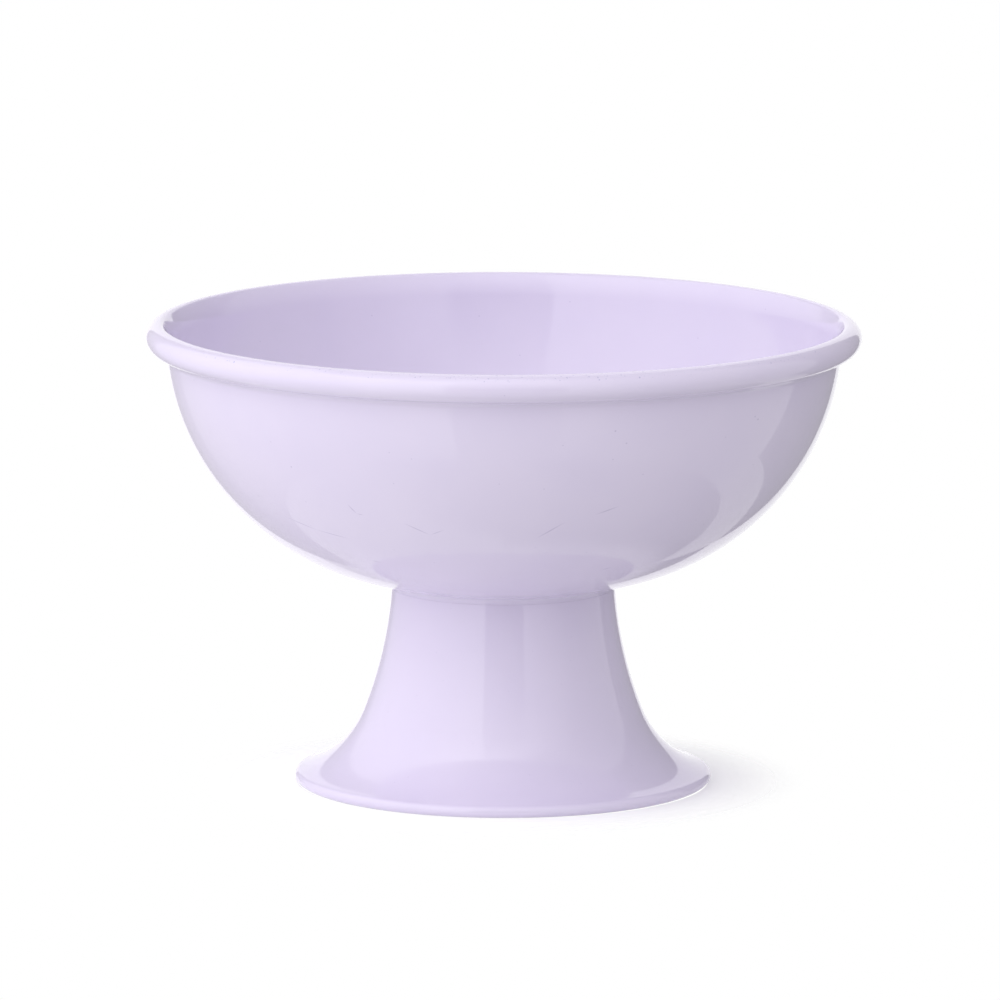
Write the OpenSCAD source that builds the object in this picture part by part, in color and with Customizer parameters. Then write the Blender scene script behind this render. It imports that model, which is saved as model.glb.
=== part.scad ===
// Footed ice cream cup in moulded melamine: a beaded bowl bonded onto a hollow flared foot.
// Millimetres, +Z up. The origin is the centre of the ring the cup stands on.
// Every node is an outline turned about the Z axis; outlines are drawn as [radius, height].

/* [Rim] */
// Diameter over the bead, the widest part of the cup
rim_d = 125; // [118:0.5:134]
// Height from the table to the top of the lip
cup_h = 81.2; // [75:0.2:90]
// Thickness of the round bead
bead_d = 4.9; // [3.8:0.1:6]
// How far the bead stands out from the wall
bead_out = 3.4; // [2.8:0.1:4.2]
// Radius of the hollow curve under the bead
bead_root_r = 1.5; // [0.5:0.1:1.8]
// Radius of the inner edge of the lip
lip_edge_r = 0.9; // [0.5:0.1:1.4]
// Radius of the flared curve inside the lip
lip_flare_r = 9; // [6:0.5:14]

/* [Bowl] */
// Drop from the top of the lip to the centre of the bowl's arc
arc_drop = 1.3; // [0.5:0.1:3]
// Thickness of the bowl's floor
bowl_wall = 2.6; // [2:0.1:3.2]
// Thickness of the bowl's wall under the bead
rim_wall = 1.1; // [1:0.1:2]
// How much higher the centre of the inner arc lies than that of the outer arc
inner_rise = 4; // [0:0.5:6]

/* [Foot] */
// Height of the foot
foot_h = 34.5; // [31:0.5:39]
// Diameter at the top of the foot
neck_d = 39.1; // [37:0.1:44]
// Lean of the foot's wall at its top, in degrees
neck_lean = 3.7; // [1:0.1:7]
// Radius of the long hollow curve of the foot
neck_arc_r = 72; // [62:1:88]
// Radius of the short hollow curve above the base
flare_arc_r = 17.7; // [13:0.1:22]
// Diameter of the base
base_d = 72.9; // [68:0.1:80]
// Thickness of the rounded edge of the base
base_edge = 2.2; // [1.6:0.1:3]
// Thickness of the foot's wall
foot_wall = 2.8; // [2:0.1:3.2]
// Radius of the foot's top edge
neck_edge_r = 0.2; // [0.1:0.05:0.6]

/* [Joint] */
// Height of the hollow between the bowl and the foot
groove_h = 0.9; // [0.5:0.1:1.5]
// How far the seat under the bowl stays inside the top of the foot
seat_inset = 0.1; // [0.05:0.05:1]
// Thickness of the land at the top of the foot
land_t = 3; // [2.4:0.1:4]
// Diameter of the ring under the bowl that centres it in the foot
spigot_d = 28; // [24:0.5:29]
// Thickness of the centring ring
spigot_wall = 2.4; // [1.8:0.1:3.2]
// How far the centring ring reaches below the land
spigot_over = 0.8; // [0.4:0.1:2]
// Thickness of the adhesive between the centring ring and the foot
bond_gap = 0.4; // [0.2:0.05:0.8]

/* [Hidden] */
$fn = 180;
melamine_colour = "#DED5ED";
adhesive_colour = "#E9E4D8";

// Length by which a cutting outline passes the edge it cuts
pass = 1;
// Overlap where two outlines meet smoothly, so that rounded numbers leave no gap or step
weld = 0.001;

// Where two circles cross, on the left of the way from the first centre to the second
function crossing(c1, r1, c2, r2) =
    let (way = c2 - c1, gap = norm(way))
    let (along = (r1 * r1 - r2 * r2 + gap * gap) / (2 * gap))
    let (across = sqrt(r1 * r1 - along * along))
    c1 + (way * along + [-way.y, way.x] * across) / gap;

// How far an arc reaches outwards from its centre, at a height above or below the centre
function reach(r, height) = sqrt(r * r - height * height);

// The point at distance d from a, on the way to b
function towards(a, b, d) = a + (b - a) * d / norm(b - a);

// Bead and lip edge: two circles that touch at the crest of the lip
rim_r = rim_d / 2;
bead_r = bead_d / 2;
bead_centre = [rim_r - bead_r, cup_h - bead_r];
lip_centre = [bead_centre.x, cup_h - lip_edge_r];

// Bowl: one arc outside and one inside, placed so that the wall thins from the floor to the bead
bowl_z = foot_h + groove_h;
floor_z = bowl_z + bowl_wall;
arc_z = cup_h - arc_drop;
arc_r = arc_z - bowl_z;
arc_centre = [rim_r - bead_out - arc_r, arc_z];
inner_arc_z = arc_z + inner_rise;
inner_arc_r = inner_arc_z - floor_z;
bead_low = cup_h - bead_d;
wall_out = arc_centre.x + reach(arc_r, arc_z - bead_low);
inner_arc_x = wall_out - rim_wall - reach(inner_arc_r, inner_arc_z - bead_low);
inner_arc_centre = [inner_arc_x, inner_arc_z];

// The flared curve inside the lip touches the inner arc and the lip edge
lip_flare_run = lip_flare_r - lip_edge_r;
lip_flare_centre = crossing(lip_centre, lip_flare_run, inner_arc_centre, inner_arc_r + lip_flare_r);
lip_flare_low = towards(inner_arc_centre, lip_flare_centre, inner_arc_r);
lip_flare_high = towards(lip_flare_centre, lip_centre, lip_flare_r);

// The hollow curve under the bead touches the bead and the wall
root_centre = crossing(bead_centre, bead_r + bead_root_r, arc_centre, arc_r + bead_root_r);
root_in_wall = towards(arc_centre, root_centre, arc_r - bowl_wall / 2);

// Foot: the long curve, the short curve and the base edge, each touching the next
neck_r = neck_d / 2;
base_r = base_d / 2;
base_edge_r = base_edge / 2;
base_edge_centre = [base_r - base_edge_r, base_edge_r];
neck_centre = [neck_r, foot_h] + neck_arc_r * [cos(neck_lean), sin(neck_lean)];
flare_centre = crossing(base_edge_centre, flare_arc_r + base_edge_r, neck_centre, neck_arc_r - flare_arc_r);
flare_high = towards(neck_centre, flare_centre, neck_arc_r);
flare_low = towards(base_edge_centre, flare_centre, base_edge_r);
inner_flare_high = towards(neck_centre, flare_centre, neck_arc_r + foot_wall);

// The rounded top edge of the foot touches the long curve and the land
neck_edge_z = foot_h - neck_edge_r;
neck_edge_run = reach(neck_arc_r + neck_edge_r, neck_centre.y - neck_edge_z);
neck_edge_centre = [neck_centre.x - neck_edge_run, neck_edge_z];
neck_edge_low = towards(neck_edge_centre, neck_centre, neck_edge_r);

// Joint: the seat rests on the land, the adhesive fills the gap around the centring ring
seat_r = neck_r - seat_inset;
seat_root_r = groove_h;
seat_root_run = seat_r + seat_root_r - arc_centre.x;
seat_root_fall = reach(arc_r + seat_root_r, seat_root_run);
seat_root_centre = arc_centre + [seat_root_run, -seat_root_fall];
seat_root_in_wall = towards(arc_centre, seat_root_centre, arc_r - bowl_wall / 2);
seat_root_in_seat = seat_root_centre - [2 * seat_root_r, 0];
land_z = foot_h - land_t;
spigot_r = spigot_d / 2;
bore_r = spigot_r + bond_gap;

// A circle of an outline
module disc(centre, r) {
    translate(centre) circle(r);
}

// A rectangle of an outline, between two radii and two heights
module block(r_in, r_out, low, high) {
    translate([r_in, low]) square([r_out - r_in, high - low]);
}

// The bowl as if it were full, with its bead, its seat and the ring that centres it in the foot
module full_bowl() {
    block(0, arc_centre.x, bowl_z, arc_z);
    block(0, seat_r, foot_h, arc_z);
    block(spigot_r - spigot_wall, spigot_r, land_z - spigot_over, bowl_z);
    intersection() {
        disc(arc_centre, arc_r + weld);
        block(0, rim_r, bowl_z - pass, arc_z);
    }
    disc(bead_centre, bead_r);
    polygon([root_in_wall, root_centre, bead_centre]);
    polygon([seat_root_in_wall, seat_root_in_seat, seat_root_centre]);
}

// The space inside the bowl: flat floor, arc, then the flared curve up to the lip
module bowl_space() {
    block(0, inner_arc_centre.x, floor_z, arc_z);
    intersection() {
        disc(inner_arc_centre, inner_arc_r + weld);
        block(0, rim_r, floor_z - pass, arc_z);
    }
    difference() {
        block(0, lip_centre.x, lip_flare_low.y, cup_h + pass);
        disc(lip_flare_centre, lip_flare_r);
    }
}

// What is cut off the bowl: the hollows under the bead and over the seat, and the lip's inner corner
module bowl_trim() {
    disc(root_centre, bead_root_r + weld);
    disc(seat_root_centre, seat_root_r + weld);
    difference() {
        block(lip_flare_high.x - pass, lip_centre.x, lip_flare_high.y, cup_h + pass);
        disc(lip_centre, lip_edge_r + weld);
    }
}

// The moulded bowl
module bowl() {
    color(melamine_colour) rotate_extrude() difference() {
        full_bowl();
        bowl_space();
        bowl_trim();
    }
}

// The foot as if it were solid, before its curves are cut
module foot_plug() {
    block(0, base_edge_centre.x, 0, foot_h);
    block(0, flare_low.x, base_edge_centre.y, foot_h);
    disc(base_edge_centre, base_edge_r);
}

// What is cut off outside the foot: the long curve, the short curve and the edge at the top
module foot_trim() {
    intersection() {
        disc(neck_centre, neck_arc_r);
        block(0, base_r, flare_high.y, foot_h + pass);
    }
    disc(flare_centre, flare_arc_r + weld);
    difference() {
        block(neck_edge_centre.x, base_r, neck_edge_low.y, foot_h + pass);
        disc(neck_edge_centre, neck_edge_r + weld);
    }
}

// The space under the foot, open at the table, and the bore through the land
module foot_space() {
    block(0, bore_r, land_z - pass, foot_h + pass);
    difference() {
        block(0, base_r, -pass, land_z);
        disc(neck_centre, neck_arc_r + foot_wall);
    }
    difference() {
        block(0, base_r, -pass, inner_flare_high.y);
        disc(flare_centre, flare_arc_r + foot_wall + weld);
    }
}

// The moulded foot, hollow and open below
module foot() {
    color(melamine_colour) rotate_extrude() difference() {
        foot_plug();
        foot_trim();
        foot_space();
    }
}

// The cured adhesive between the centring ring and the bore of the foot
module bond_ring() {
    color(adhesive_colour) rotate_extrude() block(spigot_r, bore_r, land_z, foot_h);
}

bowl();
foot();
bond_ring();
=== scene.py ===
"""Dresses the footed ice cream cup and sets up its stage, light and camera.

The cup's sizes are in millimetres, as on a drawing, and its meshes are in metres. An outline is an array of
(radius, height) points that is turned about the upright axis, in the order that keeps the material on its
right. Turns are measured from the front of the cup and are positive towards the viewer's right.
"""

import logging
import math
from dataclasses import dataclass, replace
from enum import Enum
from typing import Any

import bpy
import numpy as np
from mathutils import Matrix


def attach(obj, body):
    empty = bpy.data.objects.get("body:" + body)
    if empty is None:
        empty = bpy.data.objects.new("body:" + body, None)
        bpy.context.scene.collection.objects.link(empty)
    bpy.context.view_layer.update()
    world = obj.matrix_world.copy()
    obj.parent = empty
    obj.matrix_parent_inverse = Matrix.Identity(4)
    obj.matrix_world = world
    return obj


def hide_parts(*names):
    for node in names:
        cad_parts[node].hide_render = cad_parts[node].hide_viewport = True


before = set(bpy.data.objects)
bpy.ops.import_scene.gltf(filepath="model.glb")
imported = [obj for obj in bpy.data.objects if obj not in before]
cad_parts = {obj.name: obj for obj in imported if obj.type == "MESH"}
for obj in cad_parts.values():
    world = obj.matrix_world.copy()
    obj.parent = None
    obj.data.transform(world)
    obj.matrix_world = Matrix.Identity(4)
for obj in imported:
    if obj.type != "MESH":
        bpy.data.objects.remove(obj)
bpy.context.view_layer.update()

log = logging.getLogger("cup")

# A millimetre in metres, and the distance in millimetres below which two points are one
MM = 0.001
TOUCH = 1e-6
# Steps of a full turn, which starts at the back, and the share of it at which the front lies
TURN_STEPS = 256
FRONT = 0.5
WHITE = (1.0, 1.0, 1.0, 1.0)
BODY = "root"
UNROLLED = "unrolled"
GLOW = "glow"

Point = tuple[float, float]
Colour = tuple[float, float, float, float]


class Slot(Enum):
    """The names of the cup's two materials."""

    MELAMINE = "melamine"
    ADHESIVE = "adhesive"


class Spacing(Enum):
    """How the points of a stretch of outline are spread."""

    EVEN = "even"
    CLOSE_AT_ENDS = "close at ends"


class Ends(Enum):
    """Where an outline begins and ends."""

    ON_AXIS = "on the axis"
    MEETING = "meeting each other"


def linear(code: str) -> Colour:
    """Turns an sRGB hex colour into linear light.

    The numbers are those of the sRGB curve: a straight line near black and a power above it.

    Args:
        code: The colour as #RRGGBB.

    Returns:
        Red, green and blue in linear light, and a full alpha.
    """
    srgb = np.array([int(code[i:i + 2], 16) for i in (1, 3, 5)]) / 255
    light = np.where(srgb <= 0.04045, srgb / 12.92, ((srgb + 0.055) / 1.055) ** 2.4)
    return (*light.tolist(), 1.0)


def add_node(
    tree: bpy.types.NodeTree, kind: str, settings: dict[str, Any], inputs: dict[Any, Any]
) -> bpy.types.Node:
    """Adds a node with its settings, its socket values and its links.

    Args:
        tree: The material's or the world's node tree.
        kind: The node's type name.
        settings: Values of the node's own properties.
        inputs: For each input's name or number, a value to set or an output to link from.

    Returns:
        The new node.
    """
    node = tree.nodes.new(kind)
    for name, value in settings.items():
        setattr(node, name, value)
    for name, value in inputs.items():
        if isinstance(value, bpy.types.NodeSocket):
            tree.links.new(value, node.inputs[name])
        else:
            node.inputs[name].default_value = value
    return node


def blank_material(name: str) -> bpy.types.Material:
    """Makes a material whose node tree is still empty."""
    made = bpy.data.materials.new(name)
    made.use_nodes = True
    made.node_tree.nodes.clear()
    return made


def add_object(name: str, data: bpy.types.ID) -> bpy.types.Object:
    """Puts a mesh or a camera into the scene, as an object at the origin."""
    made = bpy.data.objects.new(name, data)
    bpy.context.scene.collection.objects.link(made)
    return made


def bearing(start: Point, end: Point) -> float:
    """Gives the angle of the way from one point of an outline to another, from outwards towards up."""
    return math.atan2(end[1] - start[1], end[0] - start[0])


def crossing(first: Point, first_r: float, second: Point, second_r: float) -> Point:
    """Finds where two circles cross, on the left of the way from the first centre to the second.

    Args:
        first: Centre of the first circle.
        first_r: Radius of the first circle.
        second: Centre of the second circle.
        second_r: Radius of the second circle.

    Returns:
        The crossing point.
    """
    gap = math.dist(first, second)
    along = (first_r ** 2 - second_r ** 2 + gap ** 2) / (2 * gap)
    turn = bearing(first, second) + math.acos(along / first_r)
    return (first[0] + first_r * math.cos(turn), first[1] + first_r * math.sin(turn))


def shares(count: int, spacing: Spacing) -> np.ndarray:
    """Spreads points over a stretch, as shares of its length from 0 to 1.

    Close spacing follows half a cosine wave, so that a flat keeps its own normal right up to a rounding.

    Args:
        count: Number of points.
        spacing: How they are spread.

    Returns:
        The shares, in order.
    """
    even = np.linspace(0, 1, count)
    if spacing is Spacing.EVEN:
        return even
    return (1 - np.cos(np.pi * even)) / 2


def line(start: Point, end: Point, count: int) -> np.ndarray:
    """Draws a straight stretch: start plus a share of the way to the end.

    Args:
        start: First point.
        end: Last point.
        count: Number of points.

    Returns:
        The points, one row each.
    """
    share = shares(count, Spacing.CLOSE_AT_ENDS)[:, None]
    return np.array(start) + share * (np.array(end) - np.array(start))


def arc(
    centre: Point, radius: float, start: float, end: float, count: int, spacing: Spacing = Spacing.EVEN
) -> np.ndarray:
    """Draws a stretch of a circle: the centre plus the radius at each angle from start to end.

    Args:
        centre: Centre of the circle.
        radius: Radius of the circle.
        start: First angle, in radians from outwards towards up.
        end: Last angle.
        count: Number of points.
        spacing: How the points are spread.

    Returns:
        The points, one row each.
    """
    angles = start + (end - start) * shares(count, spacing)
    return np.array(centre) + radius * np.stack([np.cos(angles), np.sin(angles)], axis=1)


def rounding(before: Point, corner: Point, after: Point, radius: float, count: int) -> np.ndarray:
    """Rounds a corner with the circle that touches both of its sides.

    The centre lies on the line that halves the corner, at the radius divided by the sine of half its angle.

    Args:
        before: A point on the side that leads to the corner.
        corner: The corner.
        after: A point on the side that leaves it.
        radius: Radius of the rounding.
        count: Number of points.

    Returns:
        The points of the rounding, one row each.
    """
    to_before = np.subtract(before, corner) / math.dist(before, corner)
    to_after = np.subtract(after, corner) / math.dist(after, corner)
    half = math.acos(float(to_before @ to_after)) / 2
    middle = (to_before + to_after) / np.linalg.norm(to_before + to_after)
    centre = np.array(corner) + middle * radius / math.sin(half)
    reach = radius / math.tan(half)
    start = bearing(centre, corner + to_before * reach)
    sweep = (bearing(centre, corner + to_after * reach) - start + math.pi) % math.tau - math.pi
    return arc(tuple(centre), radius, start, start + sweep, count)


def bent_line(corners: list[Point], radii: list[float], count: int = 6) -> np.ndarray:
    """Draws straight stretches through corners, each inner corner rounded.

    Args:
        corners: The first point, the corners and the last point.
        radii: Radius of each inner corner.
        count: Number of points in each rounding and in each straight stretch.

    Returns:
        The points, one row each.
    """
    triples = zip(corners, corners[1:], corners[2:], radii)
    bends = [rounding(before, corner, after, radius, count) for before, corner, after, radius in triples]
    stops = [np.array([corners[0]]), *bends, np.array([corners[-1]])]
    straights = [line(tuple(a[-1]), tuple(b[0]), count) for a, b in zip(stops, stops[1:])]
    woven = [part for pair in zip(straights, bends) for part in pair]
    return joined([*woven, straights[-1]])


def joined(parts: list[np.ndarray]) -> np.ndarray:
    """Strings stretches together and drops each point that repeats the one before it.

    Args:
        parts: The stretches, in order.

    Returns:
        One outline.
    """
    points = np.concatenate(parts)
    steps = np.linalg.norm(np.diff(points, axis=0), axis=1)
    return points[np.concatenate([[True], steps > TOUCH])]


def lengths_along(outline: np.ndarray) -> np.ndarray:
    """Gives the length of the outline from its start to each of its points, in its own units."""
    return np.concatenate([[0.0], np.cumsum(np.linalg.norm(np.diff(outline, axis=0), axis=1))])


@dataclass(frozen=True)
class Unevenness:
    """Faint waves that a moulded surface keeps where the resin shrank unevenly, always into the material."""

    height: float
    shortest: float
    longest: float
    seed: int
    waves: int = 14

    def depths(self, radii: np.ndarray, lengths: np.ndarray, turns: np.ndarray) -> np.ndarray:
        """Adds up waves that run across the surface in all directions.

        Each wave is a sine of a whole number of turns round the cup plus a rate along the outline. The sum
        is shifted to lie below zero, and fades towards the axis, where whole turns crowd together.

        Args:
            radii: Radius at each point of the outline, in millimetres.
            lengths: Length along the outline, in millimetres.
            turns: Turns about the axis, in radians.

        Returns:
            Depths in millimetres, one row for each point of the outline, zero or below.
        """
        draw = np.random.default_rng(self.seed)
        wavelength = draw.uniform(self.shortest, self.longest, self.waves)
        heading = draw.uniform(0, math.tau, self.waves)
        phase = draw.uniform(0, math.tau, self.waves)
        around = np.round(math.tau * radii.max() / wavelength * np.cos(heading))
        rate = math.tau / wavelength * np.sin(heading)
        angle = around * turns[None, :, None] + rate * lengths[:, None, None] + phase
        wave = np.sin(angle).sum(axis=2) / self.waves
        calm = np.clip(radii / radii.max(), 0, 1)[:, None]
        return (wave - 1) / 2 * self.height * calm


@dataclass
class TurnedPiece:
    """A piece whose outline is turned about the upright axis."""

    name: str
    outline: np.ndarray
    ends: Ends
    depths: np.ndarray

    def grid(self) -> np.ndarray:
        """Turns the outline about the axis.

        A point is (r sin t, -r cos t, z) for turn t, with r and z moved by the depth along the outline's own
        normal, which is its direction of travel turned a quarter to the left.

        Returns:
            Points in metres, by outline point, turn and coordinate.
        """
        turns = turn_angles()
        if self.ends is Ends.MEETING:
            travel = np.roll(self.outline, -1, axis=0) - np.roll(self.outline, 1, axis=0)
        else:
            travel = np.gradient(self.outline, axis=0)
        travel = travel / np.linalg.norm(travel, axis=1, keepdims=True)
        radius = self.outline[:, 0, None] - travel[:, 1, None] * self.depths
        height = self.outline[:, 1, None] + travel[:, 0, None] * self.depths
        return np.stack([radius * np.sin(turns), -radius * np.cos(turns), height], axis=2) * MM

    def faces(self) -> list[np.ndarray]:
        """Lists the faces: a quad for each step of outline and turn, and triangles at an end on the axis.

        Returns:
            Groups of faces with equally many corners, by face, corner and place. A place is a row of the
            outline and a column of the turn.
        """
        rows = len(self.outline)
        columns = np.arange(TURN_STEPS)
        quad = np.array([[0, 0], [1, 0], [1, 1], [0, 1]])
        first, last = (1, rows - 2) if self.ends is Ends.ON_AXIS else (0, rows)
        places = np.stack(np.meshgrid(np.arange(first, last), columns, indexing="ij"), axis=2)
        quads = places.reshape(-1, 1, 2) + quad
        if self.ends is Ends.MEETING:
            return [quads]
        start = np.stack([np.zeros_like(columns), columns], axis=1)[:, None]
        end = np.stack([np.full_like(columns, rows - 2), columns], axis=1)[:, None]
        return [start + quad[[0, 1, 2]], quads, end + quad[[0, 1, 3]]]

    def build(self) -> bpy.types.Object:
        """Makes the closed mesh, with all points of a row on the axis joined to one.

        The map unrolled holds the share of a full turn across, and the length along the outline in metres.

        Returns:
            The new object, at the origin.
        """
        groups = self.faces()
        row, column = np.concatenate([group.reshape(-1, 2) for group in groups]).T
        spot = row % len(self.outline)
        on_axis = self.outline[spot, 0] < TOUCH
        numbers = spot * TURN_STEPS + np.where(on_axis, 0, column % TURN_STEPS)
        used, numbers = np.unique(numbers, return_inverse=True)
        ends = np.cumsum([group.shape[0] * group.shape[1] for group in groups])
        parts = zip(np.split(numbers, ends[:-1]), groups)
        faces = [face for part, group in parts for face in part.reshape(group.shape[:2]).tolist()]
        mesh = bpy.data.meshes.new(self.name)
        mesh.from_pydata(self.grid().reshape(-1, 3)[used].tolist(), [], faces)
        lengths = lengths_along(np.append(self.outline, self.outline[:1], axis=0)) * MM
        unrolled = np.stack([column / TURN_STEPS, lengths[row]], axis=1)
        mesh.uv_layers.new(name=UNROLLED).data.foreach_set("uv", unrolled.ravel().astype(np.float32))
        mesh.polygons.foreach_set("use_smooth", np.ones(len(mesh.polygons), dtype=bool))
        mesh.validate()
        return add_object(self.name, mesh)


def turn_angles() -> np.ndarray:
    """Gives the turns of all turned pieces, in radians, from the back round the front to the back again."""
    return np.linspace(-math.pi, math.pi, TURN_STEPS, endpoint=False)


@dataclass(frozen=True)
class Mark:
    """A hairline or a pit on the outside of the bowl, between two places.

    A place is a turn in degrees and a height. A pit is a mark shorter than it is wide, and is drawn round.
    """

    start: Point
    end: Point
    width: float


@dataclass(frozen=True)
class UnrolledMark:
    """A mark in metres on the unrolled surface."""

    centre: Point
    half_length: float
    half_width: float
    slant: float


@dataclass(frozen=True)
class Melamine:
    """Melamine resin, pressed to shape in a polished mould.

    The pigment goes all through and lies in faint clouds. The skin is glossy, so that lamps are mirrored
    sharply in it, with a slight ripple and the odd pit, and with hairlines where rubbing wore it. The pits
    and hairlines are also painted darker, as painted shade in their tiny grooves.

    A range is the stretch of a noise, which runs from 0 to 1, over which a look goes from one end to the
    other.
    """

    name: str
    marks: tuple[UnrolledMark, ...] = ()
    mark_radius: float = 44.0
    worn_edge: tuple[float, float] = (0.0, 0.0)
    worn_turn: float = 62.0
    colour: str = "#DED5ED"
    cloud_colour: str = "#DCD3EC"
    # Painted shade: the darker colour of pits and hairlines, standing in for the shade in their grooves
    mark_shade_colour: str = "#BDB3D3"
    speck_colour: str = "#A9A5CB"
    ior: float = 1.58
    roughness: float = 0.045
    dull_roughness: float = 0.06
    cloud_size: float = 14.0
    cloud_detail: float = 3.0
    cloud_range: tuple[float, float] = (0.35, 0.65)
    gloss_range: tuple[float, float] = (0.3, 0.7)
    ripple_size: float = 2.2
    ripple_height: float = 0.0006
    pit_spacing: float = 13.0
    pit_size: float = 0.14
    pit_strength: float = 0.8
    mark_depth: float = 0.004
    speck_size: float = 0.45
    speck_range: tuple[float, float] = (0.66, 0.78)
    speck_strength: float = 0.8
    fine_detail: float = 1.0

    def material(self) -> bpy.types.Material:
        """Builds the material.

        Returns:
            The new material.
        """
        made = blank_material(self.name)
        tree = made.node_tree
        place = add_node(tree, "ShaderNodeTexCoord", {}, {})
        flat = add_node(tree, "ShaderNodeUVMap", {"uv_map": UNROLLED}, {})
        girth = math.tau * self.mark_radius * MM
        sheet = add_node(tree, "ShaderNodeMapping", {}, {
            "Vector": flat.outputs["UV"], "Location": (-FRONT * girth, 0, 0), "Scale": (girth, 1, 1)})
        cloud = add_node(tree, "ShaderNodeTexNoise", {}, {
            "Vector": place.outputs["Object"], "Scale": 1 / (self.cloud_size * MM),
            "Detail": self.cloud_detail})
        cloud_share = add_node(tree, "ShaderNodeMapRange", {}, {
            "Value": cloud.outputs["Fac"], "From Min": self.cloud_range[0], "From Max": self.cloud_range[1]})
        damage_and_shade = self.damage_and_shade(tree, sheet.outputs["Vector"])
        specks = self.specks(tree, flat.outputs["UV"], place.outputs["Object"])
        body = add_node(tree, "ShaderNodeMix", {"data_type": "RGBA"}, {
            "Factor": cloud_share.outputs["Result"],
            "A": linear(self.colour), "B": linear(self.cloud_colour)})
        # Painted shade: pits and hairlines are darkened towards the mark colour, for the shade in their
        # grooves
        rubbed_and_shaded = add_node(tree, "ShaderNodeMix", {"data_type": "RGBA"}, {
            "Factor": damage_and_shade, "A": body.outputs["Result"], "B": linear(self.mark_shade_colour)})
        speckled = add_node(tree, "ShaderNodeMix", {"data_type": "RGBA"}, {
            "Factor": specks, "A": rubbed_and_shaded.outputs["Result"], "B": linear(self.speck_colour)})
        gloss = add_node(tree, "ShaderNodeMapRange", {}, {
            "Value": cloud.outputs["Fac"], "From Min": self.gloss_range[0], "From Max": self.gloss_range[1],
            "To Min": self.roughness, "To Max": self.dull_roughness})
        ripple = add_node(tree, "ShaderNodeTexNoise", {}, {
            "Vector": place.outputs["Object"], "Scale": 1 / (self.ripple_size * MM),
            "Detail": self.fine_detail})
        ripple_height = add_node(tree, "ShaderNodeMath", {"operation": "MULTIPLY"}, {
            0: ripple.outputs["Fac"], 1: self.ripple_height})
        relief = add_node(tree, "ShaderNodeMath", {"operation": "MULTIPLY_ADD"}, {
            0: damage_and_shade, 1: -self.mark_depth, 2: ripple_height.outputs["Value"]})
        bump = add_node(tree, "ShaderNodeBump", {}, {
            "Strength": 1.0, "Distance": MM, "Height": relief.outputs["Value"]})
        skin = add_node(tree, "ShaderNodeBsdfPrincipled", {}, {
            "Base Color": speckled.outputs["Result"], "Roughness": gloss.outputs["Result"], "IOR": self.ior,
            "Normal": bump.outputs["Normal"]})
        add_node(tree, "ShaderNodeOutputMaterial", {}, {"Surface": skin.outputs["BSDF"]})
        return made

    def damage_and_shade(self, tree: bpy.types.NodeTree, sheet: bpy.types.NodeSocket) -> bpy.types.NodeSocket:
        """Draws the scattered pits and the marks that were seen, on the unrolled surface.

        A pit is a small cone at the heart of a random cell. A mark is a long thin cone that tapers to both
        ends. The same output dents the skin and also paints it darker, as painted shade in these tiny
        grooves.

        Args:
            tree: The material's node tree.
            sheet: Place on the unrolled surface, in metres.

        Returns:
            An output that is 0 on sound skin and 1 in the middle of a pit or mark.
        """
        cells = add_node(tree, "ShaderNodeTexVoronoi", {"voronoi_dimensions": "2D"}, {
            "Vector": sheet, "Scale": 1 / (self.pit_spacing * MM)})
        pits = add_node(tree, "ShaderNodeMapRange", {}, {
            "Value": cells.outputs["Distance"], "From Min": 0.0, "From Max": self.pit_size / self.pit_spacing,
            "To Min": self.pit_strength, "To Max": 0.0})
        total = pits.outputs["Result"]
        for mark in self.marks:
            moved = add_node(tree, "ShaderNodeMapping", {"vector_type": "TEXTURE"}, {
                "Vector": sheet, "Location": (*mark.centre, 0), "Rotation": (0, 0, mark.slant),
                "Scale": (mark.half_length, mark.half_width, 1)})
            cone = add_node(tree, "ShaderNodeTexGradient", {"gradient_type": "SPHERICAL"}, {
                "Vector": moved.outputs["Vector"]})
            most = add_node(tree, "ShaderNodeMath", {"operation": "MAXIMUM"}, {
                0: total, 1: cone.outputs["Fac"]})
            total = most.outputs["Value"]
        return total

    def specks(
        self, tree: bpy.types.NodeTree, flat: bpy.types.NodeSocket, place: bpy.types.NodeSocket
    ) -> bpy.types.NodeSocket:
        """Draws tiny nicks along the front of the worn edge.

        They are the peaks of a fine noise, inside a band of the outline.

        Args:
            tree: The material's node tree.
            flat: The unrolled map, whose second coordinate is the length along the outline.
            place: Place in the object, in metres.

        Returns:
            An output that is 0 on sound skin and up to 1 on a nick.
        """
        low, high = self.worn_edge
        length = add_node(tree, "ShaderNodeSeparateXYZ", {}, {"Vector": flat})
        near = add_node(tree, "ShaderNodeMath", {"operation": "COMPARE"}, {
            0: length.outputs["Y"], 1: (low + high) / 2 * MM, 2: (high - low) / 2 * MM})
        front = add_node(tree, "ShaderNodeMath", {"operation": "COMPARE"}, {
            0: length.outputs["X"], 1: FRONT, 2: self.worn_turn / 360})
        worn = add_node(tree, "ShaderNodeMath", {"operation": "MULTIPLY"}, {
            0: near.outputs["Value"], 1: front.outputs["Value"]})
        grain = add_node(tree, "ShaderNodeTexNoise", {}, {
            "Vector": place, "Scale": 1 / (self.speck_size * MM), "Detail": self.fine_detail})
        peaks = add_node(tree, "ShaderNodeMapRange", {}, {
            "Value": grain.outputs["Fac"], "From Min": self.speck_range[0], "From Max": self.speck_range[1],
            "To Max": self.speck_strength})
        nicks = add_node(tree, "ShaderNodeMath", {"operation": "MULTIPLY"}, {
            0: worn.outputs["Value"], 1: peaks.outputs["Result"]})
        return nicks.outputs["Value"]


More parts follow.
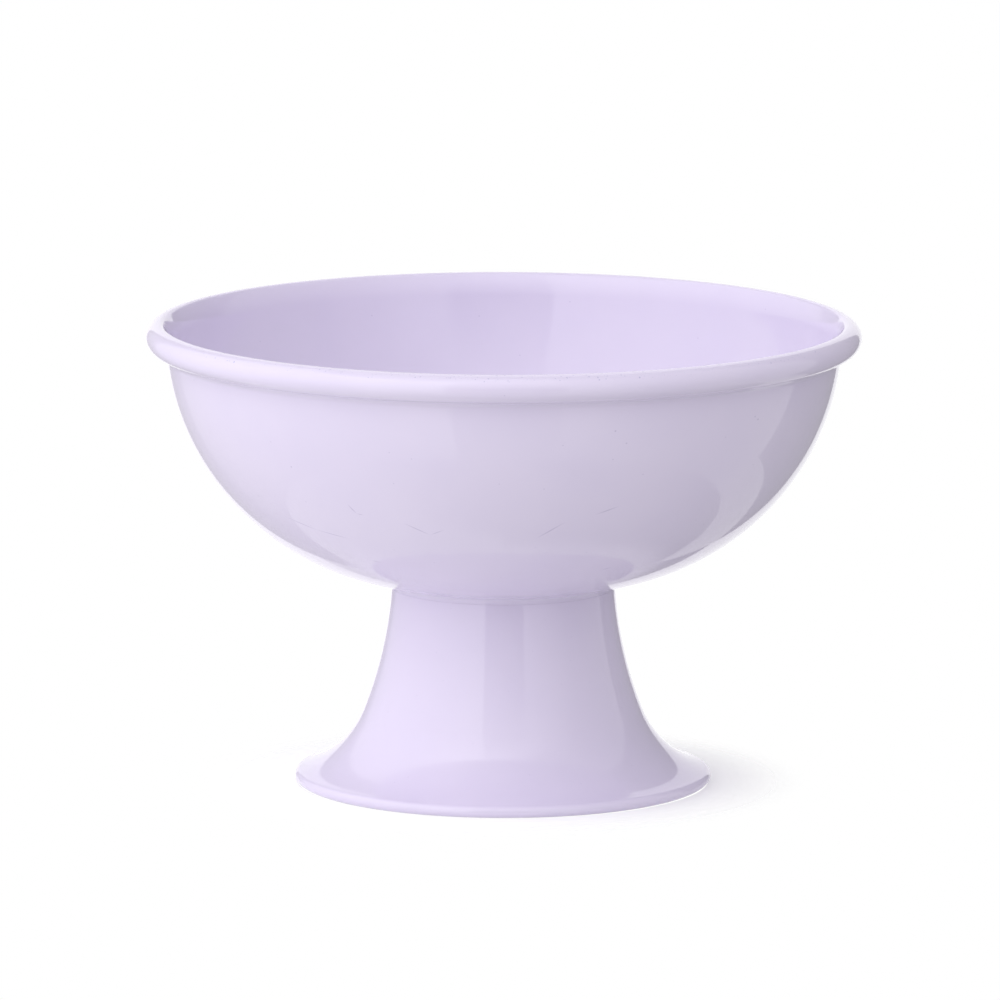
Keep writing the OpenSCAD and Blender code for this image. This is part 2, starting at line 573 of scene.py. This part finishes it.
@dataclass(frozen=True)
class CuredAdhesive:
    """Two-part resin adhesive, wiped in and left to cure.

    It dries pale yellow and dull, with a lumpy skin where it was wiped.
    """

    name: str = "cured_resin_adhesive"
    colour: str = "#E9E4D8"
    dark_colour: str = "#D8CFB6"
    ior: float = 1.52
    roughness: float = 0.45
    lump_size: float = 1.6
    lump_detail: float = 2.0
    lump_height: float = 0.03

    def material(self) -> bpy.types.Material:
        """Builds the material.

        Returns:
            The new material.
        """
        made = blank_material(self.name)
        tree = made.node_tree
        place = add_node(tree, "ShaderNodeTexCoord", {}, {})
        lumps = add_node(tree, "ShaderNodeTexNoise", {}, {
            "Vector": place.outputs["Object"], "Scale": 1 / (self.lump_size * MM),
            "Detail": self.lump_detail})
        tone = add_node(tree, "ShaderNodeMix", {"data_type": "RGBA"}, {
            "Factor": lumps.outputs["Fac"], "A": linear(self.colour), "B": linear(self.dark_colour)})
        height = add_node(tree, "ShaderNodeMath", {"operation": "MULTIPLY"}, {
            0: lumps.outputs["Fac"], 1: self.lump_height})
        bump = add_node(tree, "ShaderNodeBump", {}, {
            "Strength": 1.0, "Distance": MM, "Height": height.outputs["Value"]})
        skin = add_node(tree, "ShaderNodeBsdfPrincipled", {}, {
            "Base Color": tone.outputs["Result"], "Roughness": self.roughness, "IOR": self.ior,
            "Normal": bump.outputs["Normal"]})
        add_node(tree, "ShaderNodeOutputMaterial", {}, {"Surface": skin.outputs["BSDF"]})
        return made


def dress(piece: bpy.types.Object, material: bpy.types.Material, node: str) -> None:
    """Gives a piece its material and its body, and hides the node that it stands for.

    Args:
        piece: The finished piece.
        material: Its material.
        node: The node that it replaces.
    """
    piece.data.materials.append(material)
    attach(piece, BODY)
    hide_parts(node)


@dataclass(frozen=True)
class Joint:
    """Sizes where the bowl sits on the foot.

    The seat reaches a little further out than in the solids, which closes the seam up.
    """

    foot_h: float = 34.5
    groove_h: float = 0.9
    seat_r: float = 19.53
    land_t: float = 3.0
    spigot_r: float = 14.0
    spigot_wall: float = 2.4
    spigot_over: float = 0.8
    bond_gap: float = 0.4

    @property
    def land_z(self) -> float:
        """Height of the land's underside."""
        return self.foot_h - self.land_t

    @property
    def bore_r(self) -> float:
        """Radius of the hole in the land."""
        return self.spigot_r + self.bond_gap


@dataclass
class Bowl:
    """The moulded bowl, with its beaded rim, its seat and the ring that centres it in the foot."""

    joint: Joint
    rim_r: float = 62.5
    height: float = 81.2
    bead_r: float = 2.45
    bead_out: float = 3.4
    root_r: float = 1.5
    lip_edge_r: float = 0.9
    lip_flare_r: float = 9.0
    arc_drop: float = 1.3
    wall: float = 2.6
    rim_wall: float = 1.1
    inner_rise: float = 4.0
    corner_r: float = 0.3
    seam_r: float = 0.02
    worn_width: float = 2.2
    floor_points: int = 12
    wall_points: int = 84
    bead_points: int = 44
    curve_points: int = 18
    edge_points: int = 12
    hollow_points: int = 14
    unevenness: Unevenness = Unevenness(height=0.03, shortest=9.0, longest=30.0, seed=4)
    marks: tuple[Mark, ...] = (
        Mark((-49.8, 52.2), (-41.0, 50.2), 0.3),
        Mark((-42.5, 50.5), (-34.0, 49.4), 0.3),
        Mark((-30.6, 56.5), (-29.2, 54.7), 0.3),
        Mark((-29.4, 54.8), (-27.7, 54.6), 0.2),
        Mark((-19.9, 53.7), (-14.5, 51.4), 0.3),
        Mark((-14.9, 51.5), (-11.6, 52.7), 0.2),
        Mark((6.4, 51.0), (12.2, 54.4), 0.3),
        Mark((17.5, 55.4), (22.2, 56.9), 0.3),
        Mark((24.7, 43.7), (26.9, 44.2), 0.3),
        Mark((-32.7, 45.2), (-29.8, 44.8), 0.2),
        Mark((19.0, 70.8), (19.1, 70.8), 0.4),
        Mark((21.2, 68.5), (21.3, 68.5), 0.36),
        Mark((47.7, 70.8), (47.8, 70.8), 0.36),
        Mark((48.6, 70.2), (48.7, 70.2), 0.44),
        Mark((-40.9, 62.4), (-40.8, 62.4), 0.4),
    )

    def outline(self) -> tuple[np.ndarray, tuple[float, float]]:
        """Draws the bowl from the middle of its floor, over the rim and down to the middle underneath.

        Returns:
            The outline, and the lengths along it at which the worn edge of the lip begins and ends.
        """
        bowl_z = self.joint.foot_h + self.joint.groove_h
        floor_z = bowl_z + self.wall
        arc_r = self.height - self.arc_drop - bowl_z
        centre = (self.rim_r - self.bead_out - arc_r, self.height - self.arc_drop)
        hold_z = centre[1] + self.inner_rise
        inner_r = hold_z - floor_z
        bead_low = self.height - 2 * self.bead_r
        wall_out = centre[0] + math.sqrt(arc_r ** 2 - (centre[1] - bead_low) ** 2)
        hold = (wall_out - self.rim_wall - math.sqrt(inner_r ** 2 - (hold_z - bead_low) ** 2), hold_z)
        bead = (self.rim_r - self.bead_r, self.height - self.bead_r)
        lip = (bead[0], self.height - self.lip_edge_r)
        flare = crossing(lip, self.lip_flare_r - self.lip_edge_r, hold, inner_r + self.lip_flare_r)
        root = crossing(bead, self.bead_r + self.root_r, centre, arc_r + self.root_r)
        inside = joined([
            line((0, floor_z), (hold[0], floor_z), self.floor_points),
            arc(hold, inner_r, -math.pi / 2, bearing(hold, flare), self.wall_points, Spacing.CLOSE_AT_ENDS),
            arc(flare, self.lip_flare_r, bearing(flare, hold), bearing(flare, lip), self.curve_points),
        ])
        edge = arc(lip, self.lip_edge_r, bearing(flare, lip), math.pi / 2, self.edge_points)
        hollow_r = self.joint.groove_h
        hollow_run = self.joint.seat_r + hollow_r - centre[0]
        hollow_fall = math.sqrt((arc_r + hollow_r) ** 2 - hollow_run ** 2)
        hollow = (centre[0] + hollow_run, centre[1] - hollow_fall)
        wall_turns = (bearing(centre, root), bearing(centre, hollow))
        outside = [
            arc(bead, self.bead_r, math.pi / 2, bearing(bead, root), self.bead_points),
            arc(root, self.root_r, bearing(root, bead), bearing(root, centre), self.curve_points),
            arc(centre, arc_r, *wall_turns, self.wall_points, Spacing.CLOSE_AT_ENDS),
            arc(hollow, hollow_r, bearing(hollow, centre), math.pi, self.hollow_points),
        ]
        outline = joined([inside, edge, *outside, self.underside(hollow[1])])
        crest = lengths_along(joined([inside, edge]))[-1]
        return outline, (crest, crest + self.worn_width)

    def underside(self, start_z: float) -> np.ndarray:
        """Draws the seat, the centring ring and the flat between them and the axis.

        Args:
            start_z: Height at which the hollow curve over the seat ends in the seat's upright side.

        Returns:
            The points from the seat's side to the axis, one row each.
        """
        joint = self.joint
        ring_in = joint.spigot_r - joint.spigot_wall
        ring_low = joint.land_z - joint.spigot_over
        corners = [
            (joint.seat_r, start_z),
            (joint.seat_r, joint.foot_h),
            (joint.spigot_r, joint.foot_h),
            (joint.spigot_r, ring_low),
            (ring_in, ring_low),
            (ring_in, joint.foot_h),
            (0, joint.foot_h),
        ]
        return bent_line(corners, [self.seam_r, self.seam_r, self.corner_r, self.corner_r, self.corner_r])

    def unrolled_marks(self, outline: np.ndarray, mark_radius: float) -> tuple[UnrolledMark, ...]:
        """Lays the marks out on the unrolled surface: turn times a radius across, length of outline along.

        Args:
            outline: The bowl's outline.
            mark_radius: Radius at which the surface is unrolled, in millimetres.

        Returns:
            The marks, in metres.
        """
        outside = slice(int(outline[:, 0].argmax()), None)
        heights = outline[outside, 1]
        lengths = lengths_along(outline)[outside]
        falling = slice(0, int(heights.argmin()))
        places = np.array([[mark.start, mark.end] for mark in self.marks])
        across = np.radians(places[..., 0]) * mark_radius
        along = np.interp(places[..., 1], heights[falling][::-1], lengths[falling][::-1])
        spots = np.stack([across, along], axis=2) * MM
        centres = spots.mean(axis=1)
        runs = spots[:, 1] - spots[:, 0]
        widths = np.array([mark.width for mark in self.marks]) * MM
        halves = np.maximum(np.linalg.norm(runs, axis=1), widths) / 2
        slants = np.arctan2(runs[:, 1], runs[:, 0])
        rows = zip(centres.tolist(), halves.tolist(), (widths / 2).tolist(), slants.tolist())
        return tuple(UnrolledMark(tuple(centre), half, width, slant) for centre, half, width, slant in rows)

    def build(self) -> bpy.types.Object:
        """Builds and dresses the bowl.

        Returns:
            The finished piece.
        """
        outline, edge = self.outline()
        depths = self.unevenness.depths(outline[:, 0], lengths_along(outline), turn_angles())
        piece = TurnedPiece("moulded_bowl", outline, Ends.ON_AXIS, depths).build()
        finish = Melamine("glossy_moulded_melamine_of_bowl", worn_edge=edge)
        finish = replace(finish, marks=self.unrolled_marks(outline, finish.mark_radius))
        dress(piece, finish.material(), "bowl")
        return piece


@dataclass
class Foot:
    """The moulded foot: hollow, flared towards the base, with a land on top that carries the bowl.

    Its top edge is sharper than in the solids, which closes the seam up.
    """

    joint: Joint
    neck_r: float = 19.55
    neck_lean: float = 3.7
    neck_arc_r: float = 72.0
    flare_arc_r: float = 17.7
    base_r: float = 36.45
    base_edge_r: float = 1.1
    wall: float = 2.8
    neck_edge_r: float = 0.03
    land_corner_r: float = 0.8
    corner_r: float = 0.3
    corner_reach: float = 1.5
    neck_edge_points: int = 14
    curve_points: int = 48
    base_edge_points: int = 28
    inner_points: int = 36
    unevenness: Unevenness = Unevenness(height=0.03, shortest=7.0, longest=22.0, seed=9)

    def outline(self) -> np.ndarray:
        """Draws the foot from its top edge down the outside, round the base, up the inside and over the land.

        Returns:
            The outline, whose end meets its start.
        """
        joint = self.joint
        lean = math.radians(self.neck_lean)
        neck = (
            self.neck_r + self.neck_arc_r * math.cos(lean),
            joint.foot_h + self.neck_arc_r * math.sin(lean),
        )
        edge = (self.base_r - self.base_edge_r, self.base_edge_r)
        flare = crossing(edge, self.flare_arc_r + self.base_edge_r, neck, self.neck_arc_r - self.flare_arc_r)
        top_z = joint.foot_h - self.neck_edge_r
        top_run = math.sqrt((self.neck_arc_r + self.neck_edge_r) ** 2 - (neck[1] - top_z) ** 2)
        top = (neck[0] - top_run, top_z)
        meeting = bearing(neck, flare)
        close = Spacing.CLOSE_AT_ENDS
        outside = [
            arc(top, self.neck_edge_r, math.pi / 2, bearing(top, neck), self.neck_edge_points),
            arc(neck, self.neck_arc_r, bearing(neck, top), meeting, self.curve_points, close),
            arc(flare, self.flare_arc_r, meeting, bearing(flare, edge), self.curve_points, close),
            arc(edge, self.base_edge_r, bearing(edge, flare), -math.pi / 2, self.base_edge_points),
        ]
        inner_neck_r = self.neck_arc_r + self.wall
        inner_flare_r = self.flare_arc_r + self.wall
        low_z = self.corner_reach
        high_z = joint.land_z - self.corner_reach
        low = (flare[0] - math.sqrt(inner_flare_r ** 2 - (flare[1] - low_z) ** 2), low_z)
        high = (neck[0] - math.sqrt(inner_neck_r ** 2 - (neck[1] - high_z) ** 2), high_z)
        base_in = flare[0] - math.sqrt(inner_flare_r ** 2 - flare[1] ** 2)
        land_in = neck[0] - math.sqrt(inner_neck_r ** 2 - (neck[1] - joint.land_z) ** 2)
        base = bent_line([(edge[0], 0), (base_in, 0), low], [self.corner_r])
        inside = [
            arc(flare, inner_flare_r, bearing(flare, low), meeting, self.inner_points, close),
            arc(neck, inner_neck_r, meeting, bearing(neck, high), self.inner_points, close),
        ]
        land_corners = [
            high,
            (land_in, joint.land_z),
            (joint.bore_r, joint.land_z),
            (joint.bore_r, joint.foot_h),
            (top[0], joint.foot_h),
        ]
        land = bent_line(land_corners, [self.land_corner_r, self.corner_r, self.corner_r])
        return joined([*outside, base, *inside, land])[:-1]

    def build(self) -> bpy.types.Object:
        """Builds and dresses the foot.

        Returns:
            The finished piece.
        """
        outline = self.outline()
        depths = self.unevenness.depths(outline[:, 0], lengths_along(outline), turn_angles())
        piece = TurnedPiece("moulded_foot", outline, Ends.MEETING, depths).build()
        dress(piece, Melamine("glossy_moulded_melamine_of_foot").material(), "foot")
        return piece


@dataclass
class BondRing:
    """The cured adhesive between the centring ring and the bore of the foot."""

    joint: Joint
    hollow: float = 0.14
    face_points: int = 9
    top_points: int = 4
    side_points: int = 12
    droop: Unevenness = Unevenness(height=0.1, shortest=4.0, longest=14.0, seed=21)

    def outline(self) -> np.ndarray:
        """Draws the ring's section, with straight sides and top.

        The lower face is hollow where the resin pulled up: half a sine wave across the gap.

        Returns:
            The outline, whose end meets its start.
        """
        joint = self.joint
        across = np.linspace(0, 1, self.face_points)
        face = np.stack([
            joint.bore_r - joint.bond_gap * across,
            joint.land_z + self.hollow * np.sin(math.pi * across),
        ], axis=1)
        top_in = (joint.spigot_r, joint.foot_h)
        top_out = (joint.bore_r, joint.foot_h)
        top = line(top_in, top_out, self.top_points)
        outer_side = line(top_out, tuple(face[0]), self.side_points)
        inner_side = line(tuple(face[-1]), top_in, self.side_points)
        return joined([top, outer_side, face, inner_side])[:-1]

    def build(self) -> bpy.types.Object:
        """Builds and dresses the ring.

        Returns:
            The finished piece.
        """
        outline = self.outline()
        depths = self.droop.depths(outline[:, 0], lengths_along(outline), turn_angles())
        low = outline[:, 1] < self.joint.land_z + self.hollow + TOUCH
        piece = TurnedPiece("bond_ring_of_adhesive", outline, Ends.MEETING, depths * low[:, None]).build()
        dress(piece, CuredAdhesive().material(), "bond_ring")
        return piece


@dataclass(frozen=True)
class Screen:
    """A curved studio screen around the cup, which lights it and is mirrored in it, out of the camera's view.

    Its turns and rises are in degrees as seen from the middle of the cup. Low and high are the light along
    its lower and its upper edge, as values spread evenly from its first turn to its last, where 1 is white.
    With no high, both edges are alike. The distance, and the height of the cup's middle, are in metres.
    """

    name: str
    turns: tuple[float, float]
    rises: tuple[float, float]
    low: tuple[float, ...]
    high: tuple[float, ...] = ()
    distance: float = 1.2
    middle: float = 0.045
    steps: int = 13

    def glow(self) -> np.ndarray:
        """Spreads the light over the screen, in straight lines along both edges and from low to high.

        Returns:
            The light at each point of the screen, by turn and rise.
        """
        share = np.linspace(0, 1, self.steps)
        edges = (self.low, self.high or self.low)
        low, high = (np.interp(share, np.linspace(0, 1, len(edge)), edge) for edge in edges)
        return low[:, None] * (1 - share) + high[:, None] * share

    def build(self) -> bpy.types.Object:
        """Makes the screen as a patch of a sphere about the middle of the cup.

        A point is the distance times (cos e sin t, -cos e cos t, sin e) for turn t and rise e.

        Returns:
            The new object, hidden from the camera.
        """
        turn, rise = np.meshgrid(
            np.radians(np.linspace(*self.turns, self.steps)),
            np.radians(np.linspace(*self.rises, self.steps)),
            indexing="ij",
        )
        points = np.stack([np.cos(rise) * np.sin(turn), -np.cos(rise) * np.cos(turn), np.sin(rise)], axis=2)
        points = points * self.distance + np.array([0, 0, self.middle])
        numbers = np.arange(self.steps ** 2).reshape(self.steps, self.steps)
        corners = [numbers[:-1, :-1], numbers[:-1, 1:], numbers[1:, 1:], numbers[1:, :-1]]
        quads = np.stack(corners, axis=2).reshape(-1, 4)
        mesh = bpy.data.meshes.new(self.name)
        mesh.from_pydata(points.reshape(-1, 3).tolist(), [], quads.tolist())
        light = mesh.attributes.new(GLOW, "FLOAT", "POINT")
        light.data.foreach_set("value", self.glow().ravel().astype(np.float32))
        mesh.materials.append(self.material())
        screen = add_object(self.name, mesh)
        screen.visible_camera = False
        return screen

    def material(self) -> bpy.types.Material:
        """Builds the screen's white glow, as strong as each point says.

        Returns:
            The new material.
        """
        made = blank_material(self.name + "_glow")
        tree = made.node_tree
        strength = add_node(tree, "ShaderNodeAttribute", {"attribute_name": GLOW}, {})
        light = add_node(tree, "ShaderNodeEmission", {}, {"Strength": strength.outputs["Fac"]})
        add_node(tree, "ShaderNodeOutputMaterial", {}, {"Surface": light.outputs["Emission"]})
        return made


@dataclass(frozen=True)
class TableTop:
    """A plain white table top that keeps the cup's shadow and fades into the white around it."""

    name: str = "white_table_top"
    colour: str = "#F4F4F4"
    roughness: float = 0.9
    fade_start: float = 36.0
    fade_end: float = 54.0
    lift: float = 0.2
    drop: float = 0.05

    def build(self) -> bpy.types.Object:
        """Makes the table top as a flat ring: radius by turn, just under the cup.

        It is open under the foot, so that the hollow of the foot is lit when the cup is looked at from below.

        Returns:
            The new object.
        """
        turns = turn_angles()
        circle = np.stack([np.sin(turns), -np.cos(turns)], axis=1)
        across = np.concatenate([circle * self.fade_start, circle * self.fade_end])
        points = np.column_stack([across, np.full(len(across), -self.drop)]) * MM
        here = np.arange(TURN_STEPS)
        after = np.roll(here, -1)
        quads = np.stack([here, here + TURN_STEPS, after + TURN_STEPS, after], axis=1)
        mesh = bpy.data.meshes.new(self.name)
        mesh.from_pydata(points.tolist(), [], quads.tolist())
        mesh.materials.append(self.material())
        table = add_object(self.name, mesh)
        return table

    def material(self) -> bpy.types.Material:
        """Builds matt white card that is lifted to white for the eye and mirrors, and is clear from below.

        Returns:
            The new material.
        """
        made = blank_material("matt_white_card")
        tree = made.node_tree
        place = add_node(tree, "ShaderNodeTexCoord", {}, {})
        radius = add_node(tree, "ShaderNodeVectorMath", {"operation": "LENGTH"}, {0: place.outputs["Object"]})
        fade = add_node(tree, "ShaderNodeMapRange", {"interpolation_type": "SMOOTHSTEP"}, {
            "Value": radius.outputs["Value"],
            "From Min": self.fade_start * MM, "From Max": self.fade_end * MM})
        side = add_node(tree, "ShaderNodeNewGeometry", {}, {})
        clear = add_node(tree, "ShaderNodeMath", {"operation": "MAXIMUM"}, {
            0: fade.outputs["Result"], 1: side.outputs["Backfacing"]})
        path = add_node(tree, "ShaderNodeLightPath", {}, {})
        mirrored = add_node(tree, "ShaderNodeMath", {"operation": "ADD"}, {
            0: path.outputs["Is Glossy Ray"], 1: path.outputs["Is Transmission Ray"]})
        seen = add_node(tree, "ShaderNodeMath", {"operation": "ADD", "use_clamp": True}, {
            0: path.outputs["Is Camera Ray"], 1: mirrored.outputs["Value"]})
        lift = add_node(tree, "ShaderNodeMath", {"operation": "MULTIPLY"}, {
            0: seen.outputs["Value"], 1: self.lift})
        card = add_node(tree, "ShaderNodeBsdfPrincipled", {}, {
            "Base Color": linear(self.colour), "Roughness": self.roughness, "Emission Color": WHITE,
            "Emission Strength": lift.outputs["Value"]})
        nothing = add_node(tree, "ShaderNodeBsdfTransparent", {}, {})
        mixed = add_node(tree, "ShaderNodeMixShader", {}, {
            0: clear.outputs["Value"], 1: card.outputs["BSDF"], 2: nothing.outputs["BSDF"]})
        add_node(tree, "ShaderNodeOutputMaterial", {}, {"Surface": mixed.outputs["Shader"]})
        return made


@dataclass(frozen=True)
class Studio:
    """White surroundings, a bright screen on the left, a softer one on the right and dark gaps between."""

    screens: tuple[Screen, ...] = (
        Screen("left_screen", (-18, -146), (-42, 59), (1.05, 0.95, 0.9, 0.55), (2.15, 1.95, 1.55, 1.1)),
        Screen("left_rear_gap", (-146, -163), (-42, 59), (0.55,)),
        Screen("backdrop", (159, 197), (-32, 59), (1.2,), (1.0,)),
        Screen("right_screen", (20, 117), (-42, 59), (0.85, 0.5, 0.85), (1.35, 0.7, 0.75)),
        Screen("right_rear_gap", (117, 159), (-31, 59), (0.35,)),
        Screen("right_rear_floor", (117, 159), (-42, -31), (0.8,)),
        Screen("front_floor", (-18, 20), (-42, -4), (0.65,)),
        Screen("front_gap", (-18, 20), (-4, 59), (0.3, 0.1), (1.7, 1.6)),
        Screen("ceiling", (-180, 180), (59, 90), (0.5, 0.7, 1.6, 0.6, 0.5)),
        Screen("floor_on_left", (-163, 0), (-90, -42), (0.9, 1.1, 0.6)),
        Screen("floor_on_right", (0, 159), (-90, -42), (0.6, 0.5, 0.4, 0.3)),
        Screen("floor_at_back", (159, 197), (-90, -32), (0.3, 0.9)),
    )

    def build(self) -> list[bpy.types.Object]:
        """Builds the white world, the table top and the screens.

        Returns:
            The objects of the stage.
        """
        world = bpy.data.worlds.new("white_surroundings")
        world.use_nodes = True
        tree = world.node_tree
        tree.nodes.clear()
        white = add_node(tree, "ShaderNodeBackground", {}, {"Color": WHITE, "Strength": 1.0})
        add_node(tree, "ShaderNodeOutputWorld", {}, {"Surface": white.outputs["Background"]})
        bpy.context.scene.world = world
        bpy.context.scene.view_settings.view_transform = "Standard"
        return [TableTop().build(), *(screen.build() for screen in self.screens)]


@dataclass(frozen=True)
class Viewpoint:
    """The camera: a long lens a little above the rim, in front of the cup. Dip and roll are in degrees."""

    place: tuple[float, float, float] = (-0.6, -1962.9, 377.7)
    dip: float = 9.486
    roll: float = 0.11
    lens: float = 409.8
    sensor: float = 36.0
    sight: float = 10000.0

    def build(self) -> bpy.types.Object:
        """Makes the camera, which looks along +Y and down by the dip.

        Returns:
            The camera.
        """
        data = bpy.data.cameras.new("viewpoint")
        data.lens = self.lens
        data.sensor_width = self.sensor
        data.clip_end = self.sight * MM
        camera = add_object("viewpoint", data)
        tilt = Matrix.Rotation(math.radians(90 - self.dip), 4, "X")
        roll = Matrix.Rotation(math.radians(self.roll), 4, "Z")
        camera.matrix_world = Matrix.Translation([x * MM for x in self.place]) @ tilt @ roll
        bpy.context.scene.camera = camera
        return camera


def main() -> None:
    """Builds the camera, the studio and the cup, and reports each piece."""
    logging.basicConfig(level=logging.INFO)
    Viewpoint().build()
    Studio().build()
    joint = Joint()
    for part in (Bowl(joint), Foot(joint), BondRing(joint)):
        piece = part.build()
        triangles = sum(len(face.vertices) - 2 for face in piece.data.polygons)
        log.info("%s: %d triangles", piece.name, triangles)


if __name__ == "__main__":
    main()
